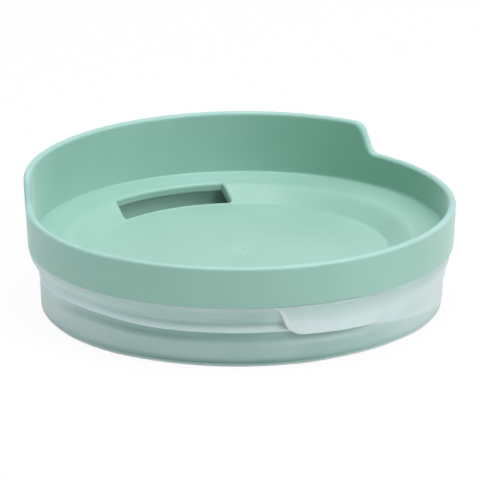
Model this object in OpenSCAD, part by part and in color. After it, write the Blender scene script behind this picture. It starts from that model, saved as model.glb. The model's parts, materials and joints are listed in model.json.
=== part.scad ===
// Drink-through cup lid with a removable silicone seal, in millimetres with +Z up.
// The lid stands on its skirt and seal at z = 0, with its axis on Z.
// The drinking slot is on the +Y side and the seal's pull tab is on the -Y side.

/* [Rim wall] */
// Outside radius of the rim wall at the top of its tall part
rim_r = 46.4; // [42:0.1:54]
// How far the outside tapers in from the tall rim to the band's lower edge
wall_taper = 0.8; // [0.2:0.05:1.5]
// Thickness of the rim wall
wall_t = 1.6; // [1.5:0.05:2.4]
// Radius of the rounded edges along the top of the rim
rim_round = 0.7; // [0.3:0.05:0.7]
// Height of the low rim above the deck
low_wall_h = 7.5; // [4:0.05:12]
// Height of the tall rim above the low rim
step_h = 6.1; // [5:0.05:12]
// Half of the tall part's span, in degrees from the slot's middle
tall_half = 66.2; // [40:0.1:80]
// Slope of the step between the two rims, in degrees
step_lean = 62; // [45:1:75]
// Radius of the hollow at the foot of the step
step_foot_r = 2.5; // [1:0.1:3]
// Radius of the shoulder at the top of the step
step_top_r = 1.6; // [1:0.1:3]

/* [Deck] */
// Thickness of the deck and the flange
deck_t = 1.45; // [1.1:0.05:2]
// Width of the flat ring between the skirt's inside and the top of the slope
ring_w = 3.65; // [2:0.05:6]
// Width of the conical slope, seen from above
slope_w = 4.4; // [4:0.1:8]
// Depth of the middle disc below the flat ring
disc_drop = 3.45; // [2:0.05:5]
// Radius that softens the top of the slope
slope_round = 4; // [0.4:0.1:5]
// Radius of the round mark that the moulding gate leaves on the disc
gate_r = 0.9; // [0.5:0.1:1.5]
// Depth of the gate mark
gate_depth = 0.25; // [0.1:0.05:0.4]

/* [Drinking slot] */
// Width of the slot between its straight ends
slot_w = 26; // [16:0.2:32]
// Distance from the disc's edge to the slot
slot_setback = 0.6; // [0.1:0.05:1.2]
// Distance from the top of the slope to the slot's outer edge
slot_past_slope = 0.6; // [0.1:0.05:1]
// Radius of the slot's corners
slot_corner = 0.6; // [0.4:0.1:1.5]

/* [Skirt] */
// Height of the band's lower edge above the ground
band_z = 14; // [13:0.1:20]
// Thickness of the skirt
skirt_t = 1.6; // [1.2:0.1:2.2]
// Radius of the small rounded edges of the band and the skirt
edge_round = 0.35; // [0.2:0.05:0.5]

/* [Seal] */
// How far the seal's collar stays inside the band
collar_inset = 0.15; // [0.1:0.05:0.8]
// Width of the collar's ledge over the plug cylinder
ledge_w = 2.45; // [2:0.05:3]
// Height of the collar's upright face
collar_h = 1.25; // [1.1:0.05:1.6]
// Thickness of the sleeve at the plug cylinder
seal_t = 1.45; // [1.2:0.05:1.8]
// Radial clearance between the skirt and the seal's bore
seal_fit = 0.1; // [0.05:0.01:0.3]
// Height of the gap between the collar and the band
seat_gap = 0.05; // [0.02:0.01:0.2]
// How far the sealing lip stands out from the plug cylinder
lip_out = 0.4; // [0.3:0.05:0.8]
// Distance from the collar's upright face to the underside of the lip
lip_drop = 4.85; // [4.4:0.05:5.2]
// Height of the lip's nose
lip_nose_h = 0.65; // [0.5:0.05:1]
// Distance from the underside of the lip to the neck above it
neck_h = 2; // [1.8:0.05:2.4]
// How far the neck stays inside the lip
neck_in = 0.4; // [0.2:0.05:0.6]
// Height of the recess under the lip
recess_h = 2.85; // [2.4:0.05:3.4]
// Depth of the recess
recess_in = 0.7; // [0.3:0.05:0.8]

/* [Pull tab] */
// Width of the tab at its root
tab_w = 25.6; // [18:0.2:32]
// How far the tab's middle sits to the side of the slot's middle
tab_offset = -1; // [-4:0.1:4]
// How far each slanted end leans in over the tab's height
tab_lean = 2.3; // [0.5:0.1:3]
// Height of the tab's root above its bend line
tab_root_h = 1.8; // [1:0.05:2]
// Height of the collar left bare above the tab's root
collar_bare_h = 0.15; // [0.1:0.05:0.4]
// How far the tab stands proud of the collar at the bend line
tab_proud = 0.1; // [0.05:0.05:0.4]
// How far the tab's foot hangs in from the bend line
tab_tuck = 0.45; // [0.1:0.05:0.6]
// Thickness of the tab
tab_t = 1; // [0.8:0.05:1.2]
// How far the tab reaches below the sealing lip
tab_below_lip = 0.5; // [0.2:0.05:1.5]
// Radius of the tab's round lower corner
tab_round_corner = 4; // [2:0.1:4.4]
// Radius of the tab's square lower corner
tab_square_corner = 1; // [0.4:0.1:2]
// Gap at the bend line between the tab and its root
bend_gap = 0.05; // [0.02:0.01:0.15]
// Clearance between the tab and the sleeve behind it
tab_clear = 0.35; // [0.3:0.05:0.5]

/* [Hidden] */
$fn = 96;

// Steps along each rounded corner and each long arc
corner_steps = 5;
arc_steps = 24;
// Length by which a cutting shape runs past what it cuts
past = 3;

// Heights of the lid
deck_z = band_z + deck_t;
disc_z = deck_z - disc_drop;
low_h = deck_z + low_wall_h;
tall_h = low_h + step_h;

// Radii from the outside in
band_r = rim_r - wall_taper;
collar_r = band_r - collar_inset;
plug_r = collar_r - ledge_w;
bore_r = plug_r - seal_t;
skirt_r = bore_r - seal_fit;
skirt_in_r = skirt_r - skirt_t;
ridge_r = skirt_in_r - ring_w;
disc_r = ridge_r - slope_w;
slot_in_r = disc_r + slot_setback;
slot_out_r = ridge_r + slot_past_slope;

// Heights of the seal
seal_h = band_z - seat_gap;
collar_z = seal_h - collar_h;
lip_z = collar_z - lip_drop;
neck_z = lip_z + neck_h;
plug_top_z = lip_z - recess_h;

// Roundings of the seal's section
foot_round = 1.1;
collar_round = 2.2;
neck_round = 0.8;
recess_round = 1;
shoulder_round = 0.6;
nose_round = 0.5;
lip_round = 0.2;
fold_round = 0.3;

// Heights and radii of the pull tab
bend_z = seal_h - collar_bare_h - tab_root_h;
tab_bottom_z = lip_z - tab_below_lip;
tab_bend_r = collar_r + tab_proud;
tab_slope = tab_tuck / (bend_z - tab_bottom_z);

function out_r(z) = band_r + wall_taper * (z - band_z) / (tall_h - band_z);
function in_r(z) = out_r(z) - wall_t;
function tab_out_r(z) = tab_bend_r - tab_slope * max(0, bend_z - z);

function arc(centre, r, from, to, steps) =
    [for (i = [0:steps]) let (a = from + (to - from) * i / steps) centre + r * [cos(a), sin(a)]];

function unit(v) = v / norm(v);

// Points along the rounding of the corner p between its neighbours a and b
function round_corner(a, p, b, r) =
    let (
        to_a = unit(a - p),
        to_b = unit(b - p),
        half = acos(to_a * to_b) / 2,
        centre = p + unit(to_a + to_b) * r / sin(half),
        first = p + to_a * r / tan(half) - centre,
        last = p + to_b * r / tan(half) - centre
    )
    [for (i = [0:corner_steps]) centre + r * unit(first + (last - first) * i / corner_steps)];

// An outline from corners of [x, y, radius]
function rounded(corners) =
    let (n = len(corners), at = [for (c = corners) [c[0], c[1]]])
    [
        for (i = [0:n - 1])
            each corners[i][2] == 0
                ? [at[i]]
                : round_corner(at[(i + n - 1) % n], at[i], at[(i + 1) % n], corners[i][2])
    ];

// Half section of the lid with the tall rim all the way round
module lid_section() {
    bend = deck_t * tan(atan(disc_drop / slope_w) / 2);
    polygon(rounded([
        [0, disc_z - deck_t, 0],
        [disc_r + bend, disc_z - deck_t, 0],
        [ridge_r + bend, band_z, 0],
        [skirt_in_r, band_z, 0],
        [skirt_in_r, 0, edge_round],
        [skirt_r, 0, edge_round],
        [skirt_r, band_z, 0],
        [band_r, band_z, edge_round],
        [out_r(tall_h), tall_h, rim_round],
        [in_r(tall_h), tall_h, rim_round],
        [in_r(deck_z), deck_z, 0],
        [ridge_r, deck_z, slope_round],
        [disc_r, disc_z, 0],
        [0, disc_z, 0]
    ]));
}

// Everything above the low rim, with the low rim's rounded edges left standing
module above_low_rim_section() {
    graze = 12;
    out_c = [out_r(low_h) - rim_round, low_h - rim_round];
    in_c = [in_r(low_h) + rim_round, low_h - rim_round];
    out_edge = arc(out_c, rim_round, graze, 90, corner_steps);
    in_edge = arc(in_c, rim_round, 90, 180 - graze, corner_steps);
    run = past / 2;
    polygon(concat(
        [[out_r(low_h) + past, tall_h + past]],
        [[out_r(low_h) + past, out_edge[0][1] - run * cos(graze)]],
        [out_edge[0] + run * [sin(graze), -cos(graze)]],
        out_edge,
        in_edge,
        [in_edge[corner_steps] + run * [-sin(graze), -cos(graze)]],
        [[in_r(low_h) - past, in_edge[corner_steps][1] - run * cos(graze)]],
        [[in_r(low_h) - past, tall_h + past]]
    ));
}

// Side view of the space in front of the tall rim, bounded by the S-curve of the step
module step_profile() {
    straight_h = step_h - (step_foot_r + step_top_r) * (1 - cos(step_lean));
    run = (step_foot_r + step_top_r) * sin(step_lean) + straight_h / tan(step_lean);
    foot_y = rim_r * cos(tall_half) - run / 2;
    top_y = foot_y + run;
    polygon(concat(
        [[-rim_r - past, tall_h + past]],
        [[-rim_r - past, low_h - past]],
        [[foot_y, low_h - past]],
        arc([foot_y, low_h + step_foot_r], step_foot_r, -90, step_lean - 90, corner_steps),
        arc([top_y, tall_h - step_top_r], step_top_r, 90 + step_lean, 90, corner_steps),
        [[top_y, tall_h + past]]
    ));
}

// Plan of the slot: two arcs about the lid's axis and two straight ends
module slot_plan() {
    end_x = slot_w / 2 - slot_corner;
    out_c = [end_x, sqrt(pow(slot_out_r - slot_corner, 2) - pow(end_x, 2))];
    in_c = [end_x, sqrt(pow(slot_in_r + slot_corner, 2) - pow(end_x, 2))];
    out_a = atan2(out_c[1], out_c[0]);
    in_a = atan2(in_c[1], in_c[0]);
    flip = [[-1, 0], [0, 1]];
    polygon(concat(
        arc(in_c, slot_corner, 180 + in_a, 360, corner_steps),
        arc(out_c, slot_corner, 0, out_a, corner_steps),
        arc([0, 0], slot_out_r, out_a, 180 - out_a, arc_steps),
        arc(flip * out_c, slot_corner, 180 - out_a, 180, corner_steps),
        arc(flip * in_c, slot_corner, 180, 360 - in_a, corner_steps),
        arc([0, 0], slot_in_r, 180 - in_a, in_a, arc_steps)
    ));
}

// The lid moulding: rim wall, deck, slot, flange and skirt
module lid_body() {
    color([0.55, 0.76, 0.69])
    difference() {
        rotate_extrude() lid_section();
        intersection() {
            rotate_extrude() above_low_rim_section();
            translate([-rim_r - past, 0, 0])
                rotate([90, 0, 90])
                    linear_extrude(height = 2 * (rim_r + past)) step_profile();
        }
        translate([0, 0, disc_z - deck_t - past])
            linear_extrude(height = deck_t + disc_drop + 2 * past) slot_plan();
        translate([0, 0, disc_z - gate_depth])
            cylinder(r = gate_r, h = gate_depth + past);
    }
}

// Half section of the seal: plug cylinder, recess, sealing lip, neck and collar
module seal_section() {
    lip_r = plug_r + lip_out;
    polygon(rounded([
        [bore_r, 0, 0],
        [plug_r, 0, foot_round],
        [plug_r, plug_top_z, shoulder_round],
        [plug_r - recess_in, plug_top_z + recess_h / 2, recess_round],
        [plug_r - recess_in, lip_z, fold_round],
        [lip_r, lip_z, lip_round],
        [lip_r, lip_z + lip_nose_h, nose_round],
        [lip_r - neck_in, neck_z, neck_round],
        [collar_r, collar_z, collar_round],
        [collar_r, seal_h, fold_round],
        [bore_r, seal_h, 0]
    ]));
}

// Shell that the tab and its root are cut from, between two heights
module tab_shell(bottom, top) {
    rotate_extrude()
        polygon([
            [tab_out_r(bottom) - tab_t, bottom],
            [tab_out_r(bottom), bottom],
            [tab_out_r(top), top],
            [tab_out_r(top) - tab_t, top]
        ]);
}

// Front view of the tab with its root, as a solid on the -Y side
module tab_outline() {
    top = bend_z + tab_root_h;
    root_x = tab_w / 2;
    foot_x = root_x - tab_lean;
    foot_z = tab_bottom_z;
    translate([tab_offset, 0, 0])
        rotate([90, 0, 0])
            linear_extrude(height = rim_r + past)
                polygon(rounded([
                    [-root_x, top, 0],
                    [-foot_x, foot_z, tab_round_corner],
                    [foot_x, foot_z, tab_square_corner],
                    [root_x, top, 0]
                ]));
}

// Space behind the tab, from the bend line down
module tab_relief() {
    relief_r = tab_out_r(tab_bottom_z) - tab_t - tab_clear;
    difference() {
        translate([tab_offset - tab_w / 2 - tab_clear, -rim_r - past, tab_bottom_z])
            cube([tab_w + 2 * tab_clear, rim_r + past, bend_z - tab_bottom_z]);
        cylinder(r = relief_r, h = 2 * tall_h, center = true);
    }
}

// The silicone sleeve with the root of its pull tab
module seal_sleeve() {
    color([0.74, 0.84, 0.82])
    union() {
        difference() {
            rotate_extrude() seal_section();
            tab_relief();
        }
        intersection() {
            tab_shell(bend_z, bend_z + tab_root_h);
            tab_outline();
        }
    }
}

// The pull tab below its bend line
module seal_pull_tab() {
    color([0.82, 0.88, 0.88])
    intersection() {
        tab_shell(tab_bottom_z, bend_z - bend_gap);
        tab_outline();
    }
}

lid_body();
seal_sleeve();
seal_pull_tab();
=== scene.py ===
"""Looks of a drink-through cup lid with a removable silicone seal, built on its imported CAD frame.

Sizes are in millimetres in the part's own frame: the lid's axis is Z, the ground is z = 0, the drinking
slot is on the +Y side and the seal's pull tab is on the -Y side. Meshes are written in metres. Turns
round the axis are in degrees from the tab's side, -Y, towards +X.
"""

import itertools
import json
import logging
import math
from collections.abc import Iterable, Sequence
from dataclasses import dataclass, field
from enum import Enum
from functools import reduce

import bpy
import bmesh
import numpy as np
from mathutils import Matrix, Vector


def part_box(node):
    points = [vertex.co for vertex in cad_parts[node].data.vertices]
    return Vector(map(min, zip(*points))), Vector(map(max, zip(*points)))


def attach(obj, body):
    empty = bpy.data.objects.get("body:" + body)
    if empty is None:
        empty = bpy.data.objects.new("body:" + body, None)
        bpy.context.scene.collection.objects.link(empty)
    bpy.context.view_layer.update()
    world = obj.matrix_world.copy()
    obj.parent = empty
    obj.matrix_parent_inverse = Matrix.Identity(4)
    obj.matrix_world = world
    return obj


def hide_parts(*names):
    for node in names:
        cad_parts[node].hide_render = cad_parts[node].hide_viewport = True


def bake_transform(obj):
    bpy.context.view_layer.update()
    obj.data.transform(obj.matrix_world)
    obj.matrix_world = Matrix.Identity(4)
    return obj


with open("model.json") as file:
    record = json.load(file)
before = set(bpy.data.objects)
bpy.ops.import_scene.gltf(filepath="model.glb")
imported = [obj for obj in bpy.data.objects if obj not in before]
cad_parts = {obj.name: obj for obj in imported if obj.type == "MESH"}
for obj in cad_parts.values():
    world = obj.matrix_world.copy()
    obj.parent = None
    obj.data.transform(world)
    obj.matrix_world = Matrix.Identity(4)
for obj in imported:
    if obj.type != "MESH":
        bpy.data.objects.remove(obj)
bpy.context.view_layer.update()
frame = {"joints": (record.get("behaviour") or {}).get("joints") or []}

MM = 0.001
LOG = logging.getLogger("cup_lid")

# Attributes that the materials read. The silicone's milkiness runs from -1, deep green, over 0, green, to 1,
# white, and carries painted light and shade besides the silicone's own whiteness. The rim's painted
# highlight is 1 along the rim's crown and 0 elsewhere.
MILK_AND_LIGHT = "silicone_milk_and_light"
RIM_HIGHLIGHT = "rim_highlight"

WHITE = (1.0, 1.0, 1.0, 1.0)
COLLAR_R = 45.5
FINE_STEPS = 24
CLOUD_DETAIL, GRAIN_DETAIL = 3.0, 2.0

# The values that a noise mostly keeps between.
NOISE_LOW, NOISE_HIGH = 0.3, 0.7

Array = np.ndarray
Colour = tuple[float, float, float, float]
Face = tuple[int, ...]
Material = bpy.types.Material
Piece = bpy.types.Object
Socket = bpy.types.NodeSocket


class Body(Enum):
    """The rigid bodies that the pieces ride on."""

    SEAL = "seal"
    LID = "lid"
    TAB = "tab"


class Slot(Enum):
    """The record's material slots."""

    PLASTIC = "lid_plastic"
    SILICONE = "seal_silicone"


def srgb(red: int, green: int, blue: int) -> Colour:
    """Turns a colour of 0 to 255 steps into the linear colour that a shader takes.

    Args:
        red: Red, 0 to 255.
        green: Green, 0 to 255.
        blue: Blue, 0 to 255.

    Returns:
        The linear colour with full alpha.
    """
    shares = [step / 255.0 for step in (red, green, blue)]
    linear = [s / 12.92 if s <= 0.04045 else ((s + 0.055) / 1.055) ** 2.4 for s in shares]
    return (linear[0], linear[1], linear[2], 1.0)


def ease(low: float | Array, high: float | Array, values: Array) -> Array:
    """Eases from 0 at low to 1 at high, which may be the lower of the two."""
    share = np.clip((values - low) / (high - low), 0.0, 1.0)
    return share * share * (3.0 - 2.0 * share)


def edge_drop(rounding: float, inset: Array) -> Array:
    """How far a rounded edge lies below its flat face, at a distance in from the side."""
    left = np.clip(rounding - inset, 0.0, rounding)
    return rounding - np.sqrt(rounding**2 - left**2)


def turn_of(points: Array) -> Array:
    """Turn of each point round the axis."""
    return np.degrees(np.arctan2(points[:, 0], -points[:, 1]))


def bend_height() -> float:
    """Height of the line that the tab bends about, from its joint."""
    joint = next(j for j in frame["joints"] if j["child"] == Body.TAB.value)
    return joint["pos_m"][2] / MM


@dataclass(frozen=True)
class Window:
    """A share that eases from 0 at start to 1 at full and, where an end is given, back to 0 at the end.

    A window may run either way: one that starts above its full value grows downwards.
    """

    start: float
    full: float
    full_end: float = math.inf
    end: float = math.inf

    def share(self, values: Array) -> Array:
        """Share at each value."""
        share = ease(self.start, self.full, values)
        return share if math.isinf(self.end) else share * ease(self.end, self.full_end, values)


@dataclass(frozen=True)
class Patch:
    """An amount that holds over a stretch of turn and a stretch of height, or over all of either."""

    amount: float
    turns: Window | None = None
    heights: Window | None = None

    def at(self, turn: Array, height: Array) -> Array:
        """The amount at each point.

        Args:
            turn: Turns of the points round the axis.
            height: Heights of the points.

        Returns:
            The amount, faded out beside the patch.
        """
        amount = np.full_like(turn, self.amount)
        for values, window in ((turn, self.turns), (height, self.heights)):
            if window:
                amount = amount * window.share(values)
        return amount


@dataclass(frozen=True)
class Corner:
    """A corner of a section: radius from the axis, height, and the rounding of the corner."""

    r: float
    z: float
    rounding: float = 0.0


def fill_straight(start: Array, end: Array, longest: float, guard: float) -> list[Array]:
    """Places points along a straight stretch, with one close to each end to keep its shading flat.

    Args:
        start: First end of the stretch.
        end: Second end of the stretch.
        longest: Longest step between two points.
        guard: Distance of the outermost points from the ends.

    Returns:
        The points between the two ends, without the ends.
    """
    length = float(np.linalg.norm(end - start))
    if length < 3.0 * guard:
        return []
    inner = max(1, math.ceil((length - 2.0 * guard) / longest))
    stations = guard + (length - 2.0 * guard) * np.arange(inner + 1) / inner
    return [start + (end - start) * s / length for s in stations]


def section_path(
    corners: Sequence[Corner],
    closed: bool = False,
    steps: int = 5,
    longest: float = 3.0,
    guard: float = 0.12,
) -> Array:
    """Draws a section through rounded corners.

    Args:
        corners: The corners in order.
        closed: Whether the last corner joins the first.
        steps: Steps along each rounding.
        longest: Longest step on a straight stretch.
        guard: Distance of a stretch's outermost points from its ends.

    Returns:
        The points as rows of radius and height.
    """
    count = len(corners)
    places = np.array([(c.r, c.z) for c in corners])
    runs: list[list[Array]] = []
    for i, corner in enumerate(corners):
        is_end = not closed and i in (0, count - 1)
        if corner.rounding == 0.0 or is_end:
            runs.append([places[i]])
            continue
        to_last = places[i - 1] - places[i]
        to_next = places[(i + 1) % count] - places[i]
        to_last = to_last / np.linalg.norm(to_last)
        to_next = to_next / np.linalg.norm(to_next)
        half = math.acos(float(np.clip(to_last @ to_next, -1.0, 1.0))) / 2.0
        bisector = (to_last + to_next) / np.linalg.norm(to_last + to_next)
        centre = places[i] + bisector * corner.rounding / math.sin(half)
        first = places[i] + to_last * corner.rounding / math.tan(half) - centre
        last = places[i] + to_next * corner.rounding / math.tan(half) - centre
        turn = math.atan2(first[0] * last[1] - first[1] * last[0], float(first @ last))
        angles = turn * np.arange(steps + 1) / steps
        across = np.array([-first[1], first[0]])
        runs.append([centre + math.cos(a) * first + math.sin(a) * across for a in angles])
    points: list[Array] = []
    for i, run in enumerate(runs):
        points.extend(run)
        if i + 1 < count or closed:
            points.extend(fill_straight(run[-1], runs[(i + 1) % count][0], longest, guard))
    return np.array(points)


def section_height(corners: Sequence[Corner], r: Array) -> Array:
    """Height of an open section at each radius."""
    path = section_path(corners, steps=FINE_STEPS)
    return np.interp(r, path[:, 0], path[:, 1])


def smooth_piece(name: str, points: Array, faces: Sequence[Face]) -> Piece:
    """Makes a smooth-shaded mesh object whose faces point outwards.

    Args:
        name: Name of the piece.
        points: Its points in millimetres.
        faces: Its faces as point numbers.

    Returns:
        The new object, linked to the scene.
    """
    mesh = bpy.data.meshes.new(name)
    mesh.from_pydata((points * MM).tolist(), [], list(faces))
    shape = bmesh.new()
    shape.from_mesh(mesh)
    bmesh.ops.recalc_face_normals(shape, faces=shape.faces)
    if shape.calc_volume(signed=True) < 0.0:
        bmesh.ops.reverse_faces(shape, faces=shape.faces)
    shape.to_mesh(mesh)
    shape.free()
    mesh.shade_smooth()
    piece = bpy.data.objects.new(name, mesh)
    bpy.context.scene.collection.objects.link(piece)
    return piece


def mesh_points(mesh: bpy.types.Mesh) -> Array:
    """Points of a mesh in millimetres."""
    return np.array([v.co for v in mesh.vertices]) / MM


def set_attribute(piece: Piece, name: str, values: Array) -> None:
    """Writes a number from -1 to 1 for each point of a piece, for its material to read."""
    attribute = piece.data.attributes.new(name, "FLOAT", "POINT")
    attribute.data.foreach_set("value", np.clip(values, -1.0, 1.0).astype(np.float32))


def border(grid: Array) -> Array:
    """Walks once round the edge of a grid of point numbers."""
    return np.concatenate([grid[0, :-1], grid[:-1, -1], grid[-1, :0:-1], grid[:0:-1, 0]])


@dataclass
class MeshSketch:
    """The points and faces of a mesh that is drawn row by row."""

    rows: list[Array] = field(default_factory=list)
    faces: list[Face] = field(default_factory=list)

    def add_row(self, row: Array) -> Array:
        """Adds a row of points.

        Args:
            row: The points.

        Returns:
            Their numbers.
        """
        start = sum(len(earlier) for earlier in self.rows)
        self.rows.append(row)
        return np.arange(start, start + len(row))

    def join(self, first: Array, second: Array, skip: Array | None = None) -> None:
        """Joins two closed rows with a strip of faces.

        Args:
            first: Point numbers of the first row.
            second: Point numbers of the second row.
            skip: The places along the rows that stay open, if any.
        """
        for j in range(len(first)):
            k = (j + 1) % len(first)
            if skip is None or not skip[j]:
                self.faces.append((int(first[j]), int(first[k]), int(second[k]), int(second[j])))

    def bridge(self, first: Array, between: Iterable[Array], last: Array) -> None:
        """Joins two closed rows by way of new rows between them.

        Args:
            first: Point numbers of the first row.
            between: Points of the new rows.
            last: Point numbers of the last row.
        """
        for points in between:
            row = self.add_row(points)
            self.join(first, row)
            first = row
        self.join(first, last)

    def fan(self, centre: Array, row: Array) -> None:
        """Closes a row with triangles to one new point in its middle.

        Args:
            centre: The new point.
            row: Point numbers of the row.
        """
        middle = int(self.add_row(centre[None, :])[0])
        for j in range(len(row)):
            self.faces.append((middle, int(row[j]), int(row[(j + 1) % len(row)])))

    def points(self) -> Array:
        """All the points that have been added."""
        return np.concatenate(self.rows)

    def piece(self, name: str) -> Piece:
        """Makes the piece from the faces, without the points that no face uses.

        Args:
            name: Name of the piece.

        Returns:
            The new object.
        """
        points = self.points()
        used = np.unique([number for face in self.faces for number in face])
        place = np.zeros(len(points), int)
        place[used] = np.arange(len(used))
        faces = [tuple(int(place[number]) for number in face) for face in self.faces]
        return smooth_piece(name, points[used], faces)


class NodeBoard:
    """A node tree that is being wired up."""

    def __init__(self, tree: bpy.types.NodeTree) -> None:
        """Starts from an empty tree."""
        self.tree = tree
        self.tree.nodes.clear()

    def add(self, kind: str, **inputs: object) -> bpy.types.Node:
        """Adds a node, sets its own properties, and sets or links its inputs.

        Args:
            kind: Blender's type of the node.
            **inputs: Properties first, by name. Then values or sockets by input name, with _ for a
                space, or by input number after a _.

        Returns:
            The new node.
        """
        node = self.tree.nodes.new(kind)
        for key, value in inputs.items():
            if hasattr(node, key):
                setattr(node, key, value)
                continue
            socket = node.inputs[int(key[1:]) if key[1:].isdigit() else key.replace("_", " ")]
            if isinstance(value, Socket):
                self.tree.links.new(value, socket)
            else:
                socket.default_value = value
        return node

    def math(self, operation: str, first: object, second: object = 0.0) -> Socket:
        """Result of a sum of two numbers or sockets."""
        return self.add("ShaderNodeMath", operation=operation, _0=first, _1=second).outputs[0]

    def times(self, *factors: object) -> Socket:
        """Product of numbers or sockets."""
        return reduce(lambda product, factor: self.math("MULTIPLY", product, factor), factors)

    def remap(self, value: Socket, low: float, high: float, to_low: float, to_high: float) -> Socket:
        """A value that is eased from one range to another."""
        node = self.add(
            "ShaderNodeMapRange",
            interpolation_type="SMOOTHSTEP",
            Value=value,
            From_Min=low,
            From_Max=high,
            To_Min=to_low,
            To_Max=to_high,
        )
        return node.outputs["Result"]

    def ramp(self, length: Socket, start: float, full: float) -> Socket:
        """Share that eases from 0 at start to 1 at full, which may be the lower of the two.

        Args:
            length: A length in metres.
            start: Length in millimetres where the share is 0.
            full: Length in millimetres where the share is 1.

        Returns:
            The share.
        """
        if start < full:
            return self.remap(length, start * MM, full * MM, 0.0, 1.0)
        return self.remap(length, full * MM, start * MM, 1.0, 0.0)

    def zone(self, *sides: tuple[Socket, Window]) -> Socket:
        """Share of a zone that is the overlap of windows.

        Args:
            *sides: Lengths in metres, each with its window in millimetres.

        Returns:
            The share.
        """
        ramps = []
        for length, window in sides:
            ramps.append(self.ramp(length, window.start, window.full))
            if not math.isinf(window.end):
                ramps.append(self.ramp(length, window.end, window.full_end))
        return self.times(*ramps)

    def reach(self, place: Socket) -> Socket:
        """A place's distance from the Z axis."""
        flat = self.add("ShaderNodeVectorMath", operation="MULTIPLY", _0=place, _1=(1.0, 1.0, 0.0))
        return self.add("ShaderNodeVectorMath", operation="LENGTH", _0=flat.outputs[0]).outputs["Value"]

    def blend(self, share: Socket, first: object, second: object) -> Socket:
        """Mix of two colours, by the node's inputs and output for colours."""
        node = self.add("ShaderNodeMix", data_type="RGBA", _0=share, _6=first, _7=second)
        return node.outputs[2]

    def noise(self, place: Socket, scale: float, detail: float) -> Socket:
        """Value of a noise of so many cells to the metre."""
        return self.add("ShaderNodeTexNoise", Vector=place, Scale=scale, Detail=detail).outputs["Fac"]

    def spread(self, noise: Socket, low: float, high: float) -> Socket:
        """A noise that is stretched from its usual values to a range."""
        return self.remap(noise, NOISE_LOW, NOISE_HIGH, low, high)


def new_material(name: str) -> tuple[Material, NodeBoard]:
    """Makes an empty node material.

    Args:
        name: Name of the material.

    Returns:
        The material and the board of its nodes.
    """
    material = bpy.data.materials.new(name)
    material.use_nodes = True
    return material, NodeBoard(material.node_tree)


@dataclass(frozen=True)
class MouldedFinish:
    """What the moulded finishes share: a matte skin with a fine grain that lets a little light in."""

    roughness: float
    roughness_span: tuple[float, float]
    grain_scale: float
    grain_depth: float
    grain_strength: float
    ior: float
    scatter: float
    scatter_reach: tuple[float, float, float]
    sheen: float
    sheen_roughness: float = 0.35
    sheen_tint: Colour = WHITE

    def wire(self, board: NodeBoard, colour: Socket, grain: Socket, polish: Socket) -> None:
        """Wires up the shader.

        Args:
            board: The material's nodes.
            colour: Colour of the surface.
            grain: Height of the grain.
            polish: Noise that varies the roughness.
        """
        bump = board.add(
            "ShaderNodeBump", Strength=self.grain_strength, Distance=self.grain_depth, Height=grain
        )
        span = [self.roughness + change for change in self.roughness_span]
        shader = board.add(
            "ShaderNodeBsdfPrincipled",
            Base_Color=colour,
            Roughness=board.spread(polish, *span),
            IOR=self.ior,
            Subsurface_Weight=self.scatter,
            Subsurface_Radius=self.scatter_reach,
            Subsurface_Scale=1.0,
            Sheen_Weight=self.sheen,
            Sheen_Roughness=self.sheen_roughness,
            Sheen_Tint=self.sheen_tint,
            Normal=bump.outputs["Normal"],
        )
        board.add("ShaderNodeOutputMaterial", Surface=shader.outputs[0])


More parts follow.
